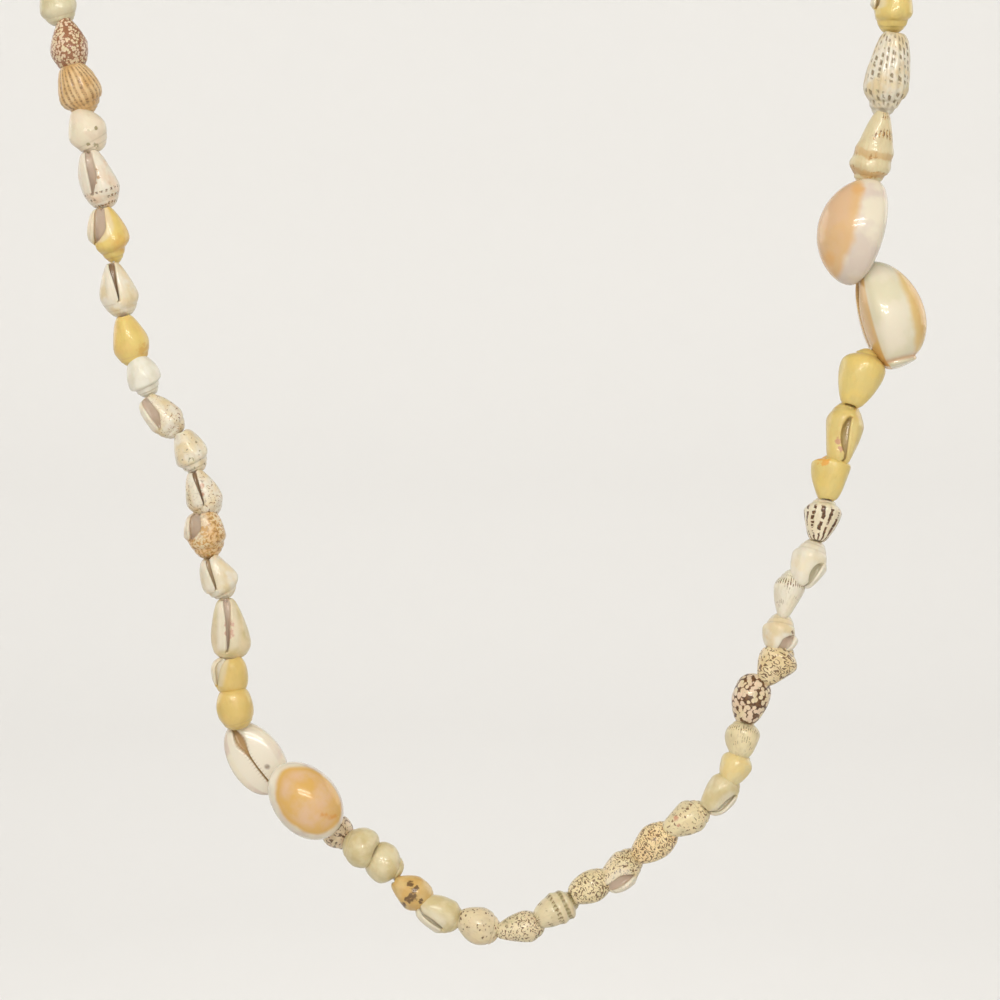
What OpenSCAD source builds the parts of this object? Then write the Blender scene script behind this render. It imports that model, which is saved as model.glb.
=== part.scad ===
// A shell lei: one closed string of small sea shells with pairs of cowries between them.
// It hangs as it is worn. The origin is on the thread at the nape, +Z is up, and the front of the
// lei hangs in an upright plane on the -Y side. All sizes are in millimetres.

/* [Small shells] */
// Wall of a small shell
small_wall = 0.8; // [0.6:0.1:0.9]
// Width of the slit along a small shell, as a share of the shell's width
slit_share = 0.2; // [0.15:0.01:0.25]
// Angle by which each shell's narrow end leans out over its neighbour's spire
small_tilt = 12; // [8:1:16]
// Slope of the cut where a narrow end rides over its neighbour's spire
lap = 40; // [30:5:50]

/* [Cowries] */
// Wall of a cowrie
cowrie_wall = 1.1; // [0.8:0.1:1.2]
// Share of a cowrie's height that lies below the line through its two ends
base_share = 0.36; // [0.3:0.01:0.4]
// Width of a cowrie's slit, as a share of its width
cowrie_slit = 0.09; // [0.07:0.01:0.12]

/* [Thread] */
// Thickness of the thread
thread_d = 0.7; // [0.5:0.1:0.8]
// Hole that is drilled through each shell for the thread
hole_d = 1.6; // [1.5:0.1:1.8]
// Gap that is left between two neighbouring shells
gap = 0.1; // [0.05:0.05:0.2]

/* [Way round the neck] */
// Radius of the half circle that passes behind the neck
neck_r = 96; // [92:1:100]
// Radius of the bend over each shoulder
bend_r = 22; // [18:1:26]
// Slope from the shoulders up to the nape
rise = 15; // [10:1:20]
// Height from the nape down to the top of the front's laid-out stretch
front_drop = 115; // [105:1:125]

/* [Hidden] */
fine = 48; // segments round a small shell
cowrie_fine = 64; // segments round a cowrie
thread_fine = 24; // segments round the thread's hole
thread_sides = 8; // sides of the separate thread
gap_reach = 60; // size of a block that cuts a shell off where its neighbour begins
end_trim = 0.2; // space between the separate thread and the joined strands' own thread
hole_spare = 1.2; // a drilled hole runs on this far past the cut at each end of its shell
bend_spare = 0.15; // a joined strand's thread runs on this far, to close its bends
end_share = 0.46; // share of a shell's length between its middle and the neighbour it laps
roll_step = 137; // each hidden small shell is rolled this much further than the one before
steep = 0.3; // a stretch of the string that runs less level than this hangs facing front

// A cowrie's outline seen from its base, worked out like an ellipse.
cowrie_step = 15; // degrees between its points
cowrie_square = 0.95; // power: 1 makes it an ellipse, and less makes it fuller
cowrie_taper = 0.1; // how much narrower its lower half is, and wider its upper half
COWRIE_SLIT_REACH = 0.42; // the slit's tips, as a share of the length from the middle
COWRIE_SLIT_FULL = 0.3; // where the slit has its full width, in the same way

// Half outline of a small shell, from its narrow end to the tip of its spire.
OUTLINE = [
  // share of the length, share of the half width
  [0.00, 0.42], [0.14, 0.58], [0.34, 0.80], [0.52, 0.94], [0.68, 1.00], [0.78, 0.96],
  [0.85, 0.84], [0.86, 0.74], [0.92, 0.58], [0.93, 0.50], [1.00, 0.22]
];
CAVITY_FIRST = 1; // first and last row of the outline that the hollow follows
CAVITY_LAST = 5;
COLUMELLA = 0.13; // radius of a small shell's middle pillar, as a share of its width

// The slit of a small shell, opened out flat.
SLIT = [
  // share of the slit's width across, share of the length along
  [0.0, 0.02], [0.5, 0.10], [0.6, 0.30], [0.5, 0.50], [0.0, 0.62], [-0.4, 0.50], [-0.5, 0.30], [-0.4, 0.10]
];
SLIT_TURN = 30; // the slit lies this far round from the side that faces front

// The shown stretch of the string, in stringing order: down the left side and up the right.
// heading: way from the narrow end to the spire, 0 down, 90 right, 180 up.
// roll: 0 shows the slit to the front, 180 the back of the shell.
// over: slope of the cut towards the next shell, positive where the next one lies in front.
//  kind      x      drop  depth  length width head roll over
SHOWN = [
  ["ivory",  -81.6,   0.4,  0.0,   9.6,  7.8,   12, 150,  lap], // 1
  ["netted", -79.4,   9.0,  0.0,  11.0,  8.0,   11, 180,  lap],
  ["brown",  -77.2,  18.0,  0.0,  10.6,  8.8,   17, 180,  lap],
  ["ivory",  -75.6,  26.2,  0.0,   9.4,  8.0,   32, 180,  lap],
  ["brown",  -73.4,  36.0,  0.0,  12.0,  7.8,   17,   0,  lap], // 5
  ["yellow", -71.0,  47.2,  0.0,  11.6,  8.0,   11,   0,  lap],
  ["ivory",  -69.4,  58.0,  0.0,  11.0,  7.8,   12, -12,  lap],
  ["yellow", -67.0,  68.2,  0.0,  10.4,  7.4,   13, 180,  lap],
  ["ivory",  -64.4,  75.2,  0.0,   8.6,  7.0,   20, 180,  lap],
  ["brown",  -60.4,  83.2,  0.0,  10.0,  7.4,   40,   0,  lap], // 10
  ["brown",  -55.0,  90.4,  0.0,   9.0,  7.0,   22, 200,  lap],
  ["brown",  -52.4,  98.8,  0.0,  10.0,  7.4,   20,  -5,  lap],
  ["brown",  -51.8, 107.0,  0.0,   9.6,  8.2,    9,   0,  lap],
  ["ivory",  -49.4, 115.6,  0.0,   9.2,  7.6,   25,   0,  lap],
  ["ivory",  -47.0, 125.8,  0.0,  12.4,  8.0,    5, -18,  lap], // 15
  ["yellow", -46.8, 135.4,  0.0,   8.2,  7.2,    4,  40,  lap],
  ["yellow", -46.0, 141.8,  0.0,   8.4,  7.6,   10, 180,  -45],
  ["cowrie", -42.2, 151.8,  3.1,  16.2, 10.6,   35,   0,   90], // left pair, back
  ["cowrie", -31.7, 159.7, -3.5,  17.4, 12.8,   42, 180,  -70], // left pair, front
  ["netted", -25.8, 166.5,  2.5,   8.8,  6.8,   45, 180,  lap], // 18
  ["ivory",  -21.0, 169.2, -0.4,   6.8,  8.4,  250, 180, -lap],
  ["ivory",  -16.0, 172.9,  0.6,   7.6,  8.2,   65, 180,  lap], // 20
  ["brown",  -10.6, 178.4,  0.0,   8.8,  7.2,   58, 180,  lap],
  ["ivory",   -5.0, 182.6,  0.0,   9.2,  7.6,   60,  20,  lap],
  ["brown",    2.6, 185.2,  0.0,   9.0,  7.6,   68, 180,  lap],
  ["brown",   11.0, 185.6,  0.0,  10.0,  6.6,  100, 180,  lap],
  ["ivory",   18.4, 181.8,  0.0,   9.8,  6.8,  118, 180,  lap], // 25
  ["brown",   25.2, 177.4,  0.0,   9.0,  6.8,  118, 180,  lap],
  ["brown",   31.4, 173.8,  0.2,   9.6,  7.3,  130,  10,  lap],
  ["brown",   37.8, 168.6,  0.0,  10.4,  7.4,  125, 180,  lap],
  ["brown",   44.2, 164.0,  0.0,  10.2,  7.0,  118, 180,  lap],
  ["ivory",   51.0, 158.6,  0.0,   9.0,  7.2,  138,  50,  lap], // 30
  ["ivory",   54.0, 153.4,  0.0,   7.4,  6.6,  150, 180,  lap],
  ["ivory",   55.4, 147.6,  0.0,   8.0,  7.2,  170, 180,  lap],
  ["netted",  57.2, 139.8,  0.0,  10.2,  7.8,  165, 180,  lap],
  ["brown",   62.2, 132.8,  0.0,   9.4,  8.0,  145, 180,  lap],
  ["ivory",   62.8, 126.4,  0.0,   7.6,  7.2,  165,  20,  lap], // 35
  ["brown",   64.6, 118.8,  0.0,  10.2,  6.4,  166, 180,  lap],
  ["ivory",   68.6, 112.6,  0.0,  10.0,  7.6,  156,  10,  lap],
  ["netted",  71.4, 103.8,  0.0,   9.2,  7.6,  168, 180,  lap],
  ["yellow",  72.9,  95.5,  0.0,   9.3,  8.2,  171, 180,  lap],
  ["yellow",  75.6,  86.8,  0.0,  12.0,  8.0,  168, -15,  lap], // 40
  ["yellow",  78.9,  75.8,  0.0,  11.8,  9.6,  160, 180,    0],
  ["cowrie",  83.9,  63.0,  1.0,  22.0, 14.6,   14,  84,   45], // right pair, lower
  ["cowrie",  78.6,  46.5, -1.5,  21.8, 14.6,  -15, 264,  -45], // right pair, upper
  ["ivory",   81.8,  29.8,  0.0,  15.2,  8.6,  -11, 180, -lap], // 42
  ["netted",  84.6,  15.2,  0.0,  17.4,  9.2,   -9, 180, -lap],
  ["yellow",  85.6,   1.6,  0.0,  10.4,  8.6,   -5,  10, -lap]
];
COWRIE_HEIGHTS = [8.0, 9.0, 12.8, 13.0]; // of the shown cowries, in stringing order

// The hidden stretch, in stringing order from the top of the right side to the top of the left.
// Its small shells and cowries take their sizes in turn from these two lists.
//                 pitch length width
HIDDEN_SMALL  = [[8.6,  9.6,   7.6], [7.8, 8.8, 7.2], [8.8, 9.8, 8.0], [7.4, 8.4, 7.0], [8.4, 9.4, 7.4]];
HIDDEN_COWRIE = [[16.4, 18.6, 12.8], [16.4, 20.0, 13.6]];
HIDDEN_HEIGHT = 9.6;
HIDDEN_DEPTHS = [3.9, -3.9]; // one cowrie of a pair lies inwards and the other outwards
// How many small shells and cowries follow each other, and which end of the shells leads.
//               small, cowries, shells point along the string
HIDDEN_RUNS   = [[21, 2, false], [24, 2, true], [7, 0, true]];

// The shells that are pieces of their own, in stringing order. Small shells go by their numbers.
LONE_FIRST = 5; // place in the string of the first of them
function small_names(first, last) =
  [for (number = [first : last]) str("shell_", number < 10 ? "0" : "", number)];
LONE_NAMES = concat(
  small_names(6, 17), ["cowrie_left_back", "cowrie_left_front"],
  small_names(18, 41), ["cowrie_right_lower", "cowrie_right_upper"]
);
LONE_LAST = LONE_FIRST + len(LONE_NAMES) - 1;
// The joined strands: name, place of the first shell, how many shells.
STRANDS = [
  ["strand_right_front", 45, 12],
  ["strand_right_shoulder", 57, 14],
  ["strand_neck_right", 71, 12],
  ["strand_neck_left", 83, 12],
  ["strand_left_front", 95, 14]
];

function unit(v) = v / norm(v);
function colour_of(kind) =
  kind == "yellow" ? "khaki" : kind == "brown" ? "tan" : kind == "netted" ? "rosybrown" :
  kind == "cowrie" ? "peachpuff" : "ivory";

// Where the string goes: up from the last shown shell, back over the right shoulder, round behind
// the neck, over the left shoulder, and down to the first shown shell.
bend_angle = 90 - rise;
front_y = -neck_r * cos(rise) - bend_r * (1 - cos(bend_angle));
bend_z = -neck_r * sin(rise) - bend_r * sin(bend_angle);
bend_len = PI * bend_r * bend_angle / 180;
neck_len = PI * neck_r;
function shown_centre(row) = [row[1], front_y + row[3], -front_drop - row[2]];
right_top = shown_centre(SHOWN[len(SHOWN) - 1]);
left_top = shown_centre(SHOWN[0]);
right_bend = [neck_r, front_y, bend_z];
left_bend = [-neck_r, front_y, bend_z];
right_len = norm(right_bend - right_top);
left_len = norm(left_top - left_bend);
bend_start = right_len;
neck_start = bend_start + bend_len;
neck_end = neck_start + neck_len;
bend_end = neck_end + bend_len;
hidden_len = bend_end + left_len;

function over_shoulder(side, angle) =
  [side * neck_r, front_y + bend_r * (1 - cos(angle)), bend_z + bend_r * sin(angle)];
function behind_neck(angle) =
  [neck_r * cos(angle), -neck_r * cos(rise) * (1 - sin(angle)), -neck_r * sin(rise) * (1 - sin(angle))];
function route(s) =
  s < bend_start ? right_top + (right_bend - right_top) * s / right_len :
  s < neck_start ? over_shoulder(1, (s - bend_start) / bend_len * bend_angle) :
  s < neck_end ? behind_neck((s - neck_start) / neck_len * 180) :
  s < bend_end ? over_shoulder(-1, (bend_end - s) / bend_len * bend_angle) :
  left_bend + (left_top - left_bend) * (s - bend_end) / left_len;

// The hidden shells as [is it a cowrie, its number among its like, does it point along the string].
hidden_kinds = [
  for (run = HIDDEN_RUNS) each concat(
    [for (i = [0 : run[0] - 1]) [false, i, run[2]]],
    [for (i = [0 : 1 : run[1] - 1]) [true, i, run[2]]]
  )
];
function hidden_size(k) = k[0] ? HIDDEN_COWRIE[k[1] % 2] : HIDDEN_SMALL[k[1] % len(HIDDEN_SMALL)];

// The hidden shells are spread over the stretch between the last shown shell and the first.
pitches = [for (k = hidden_kinds) hidden_size(k)[0]];
function pitch_sum(count) = count == 0 ? 0 : pitch_sum(count - 1) + pitches[count - 1];
first_reach = SHOWN[0][4] * end_share;
last_reach = SHOWN[len(SHOWN) - 1][4] * end_share;
pitch_scale = (hidden_len - first_reach - last_reach) / pitch_sum(len(pitches));
function place_of(i) = last_reach + (pitch_sum(i) + pitches[i] / 2) * pitch_scale;

// Every shell: [kind, centre, turn of its front about Z, heading, roll, length, width, height, over].
// The two cowries of a pair are rolled half a turn from each other, base to base.
function hidden_shell(i) = let (
  k = hidden_kinds[i],
  size = hidden_size(k),
  s = place_of(i),
  way = unit(route(s + 0.5) - route(s - 0.5)),
  turn = norm([way.x, way.y]) < steep ? 0 : atan2(way.y, way.x),
  heading = atan2(way.x * cos(turn) + way.y * sin(turn), -way.z) + (k[2] ? 0 : 180),
  outward = [sin(turn), -cos(turn), 0],
  depth = k[0] ? HIDDEN_DEPTHS[k[1]] : 0
) [
  k[0] ? "cowrie" : "ivory", route(s) - outward * depth, turn, heading,
  k[0] ? 180 * k[1] : roll_step * k[1], size[1], size[2], HIDDEN_HEIGHT, k[2] ? lap : -lap
];
shown_cowries = [for (i = [0 : len(SHOWN) - 1]) if (SHOWN[i][0] == "cowrie") i];
function height_of(i) = let (found = search(i, shown_cowries))
  len(found) > 0 ? COWRIE_HEIGHTS[found[0]] : 0;
string = concat(
  [
    for (i = [0 : len(SHOWN) - 1]) let (row = SHOWN[i])
      [row[0], shown_centre(row), 0, row[6], row[7], row[4], row[5], height_of(i), row[8]]
  ],
  [for (i = [0 : len(hidden_kinds) - 1]) hidden_shell(i)]
);
function shell(i) = string[i % len(string)];

// Where the thread passes from shell i to the next, and the slope of the cut between the two.
function joint(i) = let (a = shell(i), b = shell(i + 1)) a[1] + (b[1] - a[1]) * a[5] / (a[5] + b[5]);
function cut_normal(i) = let (
  a = shell(i),
  along = unit(shell(i + 1)[1] - a[1]),
  front = [sin(a[2]), -cos(a[2]), 0]
) unit(along * cos(a[8]) + front * sin(a[8]));

// Turns +Z onto a direction.
module aim(v) {
  rotate([0, acos(v.z / norm(v)), atan2(v.y, v.x)]) children();
}

// Puts a shell that stands on the origin, narrow end down, in its place on the string.
module strung(s) {
  tilt = s[0] == "cowrie" ? 0 : small_tilt;
  translate(s[1]) rotate([0, 0, s[2]]) rotate([0, 180 - s[3], 0]) rotate([-tilt, 0, 0])
    rotate([0, 0, s[4]]) children();
}

// All that lies past the cut between shell i and the next, or before it, and half the gap.
module past_cut(i, side) {
  translate(joint(i)) aim(cut_normal(i) * side)
    translate([-gap_reach / 2, -gap_reach / 2, -gap / 2]) cube(gap_reach);
}

// The thread's straight way through shell i, which runs on past both its ends by a spare length.
module thread_way(i, d, spare) {
  from = joint(i + len(string) - 1);
  to = joint(i);
  translate(from) aim(to - from) translate([0, 0, -spare])
    cylinder(h = norm(to - from) + 2 * spare, d = d, $fn = thread_fine);
}

module small_body(length, width) {
  translate([0, 0, -length / 2]) rotate_extrude($fn = fine) polygon(concat(
    [[0, 0]],
    [for (row = OUTLINE) [row[1] * width / 2, row[0] * length]],
    [[0, length]]
  ));
}

// The hollow round a small shell's pillar, and the slit that opens it.
module small_hollow(length, width) {
  translate([0, 0, -length / 2]) {
    rotate_extrude($fn = fine) polygon(concat(
      [[COLUMELLA * width, OUTLINE[CAVITY_FIRST][0] * length]],
      [
        for (i = [CAVITY_FIRST : CAVITY_LAST])
          [OUTLINE[i][1] * width / 2 - small_wall, OUTLINE[i][0] * length]
      ],
      [[COLUMELLA * width, OUTLINE[CAVITY_LAST][0] * length]]
    ));
    rotate([90, 0, SLIT_TURN]) translate([0, 0, COLUMELLA * width]) linear_extrude(width)
      polygon([for (row = SLIT) [row[0] * slit_share * width, row[1] * length]]);
  }
}

// A dome with a flat base, which faces -Y. Its ends lie on the Z axis.
module cowrie_body(length, width, height) {
  top = height * (1 - base_share);
  intersection() {
    scale([1, 2 * top / width, 1]) rotate_extrude($fn = cowrie_fine) polygon([
      for (a = [0 : cowrie_step : 180])
        [width / 2 * pow(sin(a), cowrie_square) * (1 - cowrie_taper * cos(a)), -length / 2 * cos(a)]
    ]);
    translate([-width, -height * base_share, -length]) cube([2 * width, 2 * height, 2 * length]);
  }
}

// The hollow inside a cowrie and the slit along the middle of its flat base.
module cowrie_hollow(length, width, height) {
  cowrie_body(length - 2 * cowrie_wall, width - 2 * cowrie_wall, height - 2 * cowrie_wall);
  half = width * cowrie_slit / 2;
  tip = COWRIE_SLIT_REACH * length;
  full = COWRIE_SLIT_FULL * length;
  rotate([90, 0, 0]) linear_extrude(height)
    polygon([[0, -tip], [half, -full], [half, full], [0, tip], [-half, full], [-half, -full]]);
}

// A shell that is a piece of its own: hollow, drilled, and clear of both its neighbours.
module lone_shell(i) {
  s = shell(i);
  color(colour_of(s[0])) difference() {
    strung(s) difference() {
      if (s[0] == "cowrie") cowrie_body(s[5], s[6], s[7]); else small_body(s[5], s[6]);
      if (s[0] == "cowrie") cowrie_hollow(s[5], s[6], s[7]); else small_hollow(s[5], s[6]);
    }
    thread_way(i, hole_d, hole_spare);
    past_cut(i, 1);
    past_cut(i - 1, -1);
  }
}

// A run of shells joined along their thread, clear of the shells at its two ends.
module joined_strand(first, count) {
  last = first + count - 1;
  color("cornsilk") difference() {
    union() {
      for (i = [first : last]) let (s = shell(i)) {
        strung(s) if (s[0] == "cowrie") cowrie_body(s[5], s[6], s[7]); else small_body(s[5], s[6]);
        thread_way(i, thread_d, bend_spare);
      }
    }
    past_cut(last, 1);
    past_cut(first - 1, -1);
  }
}

// The thread through the separate shells: a ring of points where it passes from shell to shell.
thread_points = [for (i = [LONE_FIRST - 1 : LONE_LAST]) joint(i)];
module thread() {
  last = len(thread_points) - 1;
  sides = thread_sides;
  function way_at(i) = unit(thread_points[min(i + 1, last)] - thread_points[max(i - 1, 0)]);
  function trimmed(i) =
    thread_points[i] + way_at(i) * (i == 0 ? end_trim : i == last ? -end_trim : 0);
  function ring(i) = let (
    way = way_at(i), side = unit(cross(way, [0, 1, 0])), front = cross(side, way)
  ) [
    for (j = [0 : sides - 1]) let (a = 360 * j / sides)
      trimmed(i) + thread_d / 2 * (side * cos(a) + front * sin(a))
  ];
  color("whitesmoke") polyhedron(
    points = [for (i = [0 : last]) each ring(i)],
    faces = concat(
      [[for (j = [0 : sides - 1]) j]],
      [
        for (i = [0 : last - 1], j = [0 : sides - 1]) let (
          here = i * sides, there = here + sides, next = (j + 1) % sides
        ) each [[here + j, there + j, there + next], [here + j, there + next, here + next]]
      ],
      [[for (j = [sides - 1 : -1 : 0]) last * sides + j]]
    )
  );
}

for (i = [0 : len(LONE_NAMES) - 1]) lone_shell(LONE_FIRST + i);
for (strand = STRANDS) joined_strand(strand[1], strand[2]);
thread();
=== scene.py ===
import math
import random

import bmesh
import bpy
import numpy as np
from mathutils import Matrix, Vector


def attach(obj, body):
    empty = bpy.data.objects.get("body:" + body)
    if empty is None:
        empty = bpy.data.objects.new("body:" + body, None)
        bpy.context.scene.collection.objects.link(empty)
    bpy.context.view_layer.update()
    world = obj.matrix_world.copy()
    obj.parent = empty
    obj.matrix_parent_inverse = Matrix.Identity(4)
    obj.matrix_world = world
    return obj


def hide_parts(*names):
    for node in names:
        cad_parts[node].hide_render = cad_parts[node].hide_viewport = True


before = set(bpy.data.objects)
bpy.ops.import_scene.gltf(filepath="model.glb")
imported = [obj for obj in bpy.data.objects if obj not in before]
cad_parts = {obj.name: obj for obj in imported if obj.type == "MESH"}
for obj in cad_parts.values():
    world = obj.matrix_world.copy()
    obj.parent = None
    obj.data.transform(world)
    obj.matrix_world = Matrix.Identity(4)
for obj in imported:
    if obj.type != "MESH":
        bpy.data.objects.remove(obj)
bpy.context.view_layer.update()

# The studio
# The lei hangs free inside a wide pale bowl, whose floor lies well below it. Large soft lights stand
# round it. The camera looks level at the front of the lei, which fills a square of 200 mm.
FRONT_Y = -109.035
VIEW_LEFT = -93
VIEW_TOP = -115
VIEW_WIDTH = 200.0
VIEW_CENTRE = Vector((VIEW_LEFT + VIEW_WIDTH / 2, FRONT_Y, VIEW_TOP - VIEW_WIDTH / 2))
FLOOR_Z = -0.62
MERGE = 1e-5  # points nearer than this become one
LAMP_COLOUR = (1.0, 0.95, 0.87)
scene = bpy.context.scene


def area_light(name, place, wide, high, power, turn):
    """Adds a flat light that the camera doesn't see. Only tubes and rims show as highlights."""
    light = bpy.data.objects.new(name, bpy.data.lights.new(name, "AREA"))
    light.data.shape = "RECTANGLE"
    light.data.size = wide
    light.data.size_y = high
    light.data.energy = power
    light.location = place
    light.rotation_euler = turn
    light.visible_camera = False
    light.visible_glossy = name.startswith(("tube", "rim"))
    scene.collection.objects.link(light)
    return light


def spun_mesh(name, outline, steps, inward=False):
    """Turns an outline, given as x and z, once round the upright axis."""
    bm = bmesh.new()
    chain = [bm.verts.new((x, 0, z)) for x, z in outline]
    chain += [bm.edges.new(pair) for pair in zip(chain, chain[1:])]
    bmesh.ops.spin(bm, geom=chain, axis=(0, 0, 1), angle=2 * math.pi, steps=steps, use_merge=True)
    bmesh.ops.remove_doubles(bm, verts=bm.verts, dist=MERGE)
    bmesh.ops.recalc_face_normals(bm, faces=bm.faces)
    if inward:
        bmesh.ops.reverse_faces(bm, faces=bm.faces)
    mesh = bpy.data.meshes.new(name)
    bm.to_mesh(mesh)
    bm.free()
    return mesh


camera = bpy.data.objects.new("camera", bpy.data.cameras.new("camera"))
camera.data.lens = 100
camera.data.sensor_width = 36
camera.data.clip_start = 0.01
view_distance = VIEW_WIDTH * camera.data.lens / camera.data.sensor_width
camera.location = (VIEW_CENTRE - Vector((0, view_distance, 0))) / 1000
camera.rotation_euler = (math.pi / 2, 0, 0)
scene.collection.objects.link(camera)
scene.camera = camera
scene.view_settings.view_transform = "Standard"

world = bpy.data.worlds.new("studio")
world.use_nodes = True
air = world.node_tree.nodes["Background"]
air.inputs["Color"].default_value = (1.0, 0.97, 0.92, 1)
air.inputs["Strength"].default_value = 0.22
scene.world = world

# Two lights that face away from the lei brighten the bowl: name, distance back, tilt, power
for name, back, tilt, power in [("backdrop_far", 0.9, 62, 26), ("backdrop_near", -1.5, -62, 11)]:
    area_light(name, (0, back, 0.9), 2.4, 0.6, power, (math.radians(tilt), 0, 0))

# The lights that face the lei: name, place, width, height, power
LIGHTS = [
    ("key", (-0.70, -1.35, 0.70), 0.8, 0.6, 7.4),
    ("tube_upper", (0.05, -1.20, 0.26), 0.60, 0.05, 1.8),
    ("tube_lower", (0.05, -1.20, 0.08), 0.60, 0.05, 1.8),
    ("window_right", (1.35, -0.95, 0.2), 0.8, 0.8, 2.5),
    ("rim_left", (-1.2, 0.6, 0.2), 0.9, 0.9, 2.5),
    ("rim_right", (1.2, 0.6, 0.3), 0.9, 0.9, 2.5),
    ("top", (0.1, -0.35, 1.2), 0.9, 0.9, 5),
]
for name, place, wide, high, power in LIGHTS:
    turn = (VIEW_CENTRE / 1000 - Vector(place)).to_track_quat("-Z", "Y").to_euler()
    area_light(name, place, wide, high, power, turn).data.color = LAMP_COLOUR

BOWL_STEPS = 96
BOWL = [(0.0, 0.0), (1.2, 0.0), (1.8, 0.03), (2.25, 0.16), (2.55, 0.42), (2.7, 0.8), (2.75, 2.6)]
bowl_mesh = spun_mesh("studio_floor", [(x, FLOOR_Z + z) for x, z in BOWL], BOWL_STEPS, inward=True)
bowl_mesh.shade_smooth()
bowl = bpy.data.objects.new("studio_floor", bowl_mesh)
scene.collection.objects.link(bowl)
paper = bpy.data.materials.new("pale_paper")
paper.use_nodes = True
shader = paper.node_tree.nodes["Principled BSDF"]
shader.inputs["Base Color"].default_value = (0.78, 0.77, 0.75, 1)
shader.inputs["Roughness"].default_value = 0.9
bowl_mesh.materials.append(paper)

# The thread
# A thin pale fishing line, tied into a loop, that every shell is strung on. The line is hidden
# inside the shells and shows only where two of them part.
THREAD_D = 0.5
NECK_R = 96.0
BEND_R = 22.0
RISE = math.radians(15)
LAP_SHARE = 0.46  # share of its length that a shell takes up on either side of its centre
SMALL_TILT = -12  # degrees that a small shell leans, spire back, so its nose rides over the next
UPRIGHT = 0.3  # where the string runs less level than this, its shells face the front
LINE_SIDES = 10

# Each shown shell: number or name, x, drop below the top, depth, length, width, heading of the
# spire from straight down, and roll from the side with the slit.
SHOWN = [
    (1, -81.6, 0.4, 0, 9.6, 7.8, 12, 150),
    (2, -79.4, 9.0, 0, 11.0, 8.0, 11, 180),
    (3, -77.2, 18.0, 0, 10.6, 8.8, 17, 180),
    (4, -75.6, 26.2, 0, 9.4, 8.0, 24, 180),
    (5, -73.4, 36.0, 0, 12.0, 7.8, 17, 0),
    (6, -71.0, 47.2, 0, 11.6, 8.0, 11, 0),
    (7, -69.4, 58.0, 0, 11.0, 7.8, 12, -12),
    (8, -67.0, 68.2, 0, 10.4, 7.4, 13, 180),
    (9, -64.4, 75.2, 0, 8.6, 7.0, 20, 180),
    (10, -60.4, 83.2, 0, 10.0, 7.4, 40, 0),
    (11, -55.0, 90.4, 0, 9.0, 7.0, 22, 200),
    (12, -52.4, 98.8, 0, 10.0, 7.4, 20, -5),
    (13, -51.8, 107.0, 0, 9.6, 8.2, 9, 0),
    (14, -49.4, 115.6, 0, 9.2, 7.6, 25, 0),
    (15, -47.0, 125.8, 0, 12.4, 8.0, 5, -18),
    (16, -46.8, 135.4, 0, 8.2, 7.2, 4, 40),
    (17, -46.0, 141.8, 0, 8.4, 7.6, 10, 180),
    ("cowrie_left_back", -42.2, 151.8, 3.1, 16.2, 10.6, 35, 0),
    ("cowrie_left_front", -31.7, 159.7, -3.5, 17.4, 12.8, 42, 180),
    (18, -25.8, 166.5, 2.5, 8.8, 6.8, 45, 180),
    (19, -21.0, 169.2, -0.4, 6.8, 8.4, 250, 180),
    (20, -16.0, 172.9, 0.6, 7.6, 8.2, 65, 180),
    (21, -10.6, 178.4, 0, 8.8, 7.2, 58, 180),
    (22, -5.0, 182.6, 0, 9.2, 7.6, 60, 20),
    (23, 2.6, 185.2, 0, 9.0, 7.6, 68, 180),
    (24, 11.0, 185.6, 0, 10.0, 6.6, 100, 180),
    (25, 18.4, 181.8, 0, 9.8, 6.8, 118, 180),
    (26, 25.2, 177.4, 0, 9.0, 6.8, 118, 180),
    (27, 31.4, 173.8, 0.2, 9.6, 7.3, 130, 10),
    (28, 37.8, 168.6, 0, 10.4, 7.4, 125, 180),
    (29, 44.2, 164.0, 0, 10.2, 7.0, 118, 180),
    (30, 51.0, 158.6, 0, 9.0, 7.2, 138, 50),
    (31, 54.0, 153.4, 0, 7.4, 6.6, 150, 180),
    (32, 55.4, 147.6, 0, 8.0, 7.2, 170, 180),
    (33, 57.2, 139.8, 0, 10.2, 7.8, 165, 180),
    (34, 62.2, 132.8, 0, 9.4, 8.0, 145, 180),
    (35, 62.8, 126.4, 0, 7.6, 7.2, 165, 20),
    (36, 64.6, 118.8, 0, 10.2, 6.4, 166, 180),
    (37, 68.6, 112.6, 0, 10.0, 7.6, 156, 10),
    (38, 71.4, 103.8, 0, 9.2, 7.6, 168, 180),
    (39, 72.9, 95.5, 0, 9.3, 8.2, 171, 180),
    (40, 75.6, 86.6, 0, 12.8, 8.0, 168, -15),
    (41, 79.0, 75.5, 0, 12.4, 9.6, 160, 180),
    ("cowrie_right_lower", 83.9, 63.0, 1.0, 22.0, 14.6, 14, 84),
    ("cowrie_right_upper", 78.6, 46.5, -1.5, 21.8, 14.6, -15, 264),
    (42, 81.8, 29.8, 0, 15.2, 8.6, -11, 180),
    (43, 84.6, 15.2, 0, 17.4, 9.2, -9, 180),
    (44, 85.6, 1.6, 0, 10.4, 8.6, -5, 10),
]
# The sizes that the shells out of view take in turn: pitch, length, width
HIDDEN_SMALL = [(8.6, 9.6, 7.6), (7.8, 8.8, 7.2), (8.8, 9.8, 8.0), (7.4, 8.4, 7.0), (8.4, 9.4, 7.4)]
HIDDEN_COWRIE = [(16.4, 18.6, 12.8), (16.4, 20.0, 13.6)]
HIDDEN_DEPTHS = [3.9, -3.9]  # how far the two cowries of a pair stand off the string
# Runs of small shells and cowries, and whether they point along the string
HIDDEN_RUNS = [(21, 2, False), (24, 2, True), (7, 0, True)]
ROLL_STEP = 137  # degrees from the roll of one such shell to the next one's

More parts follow.
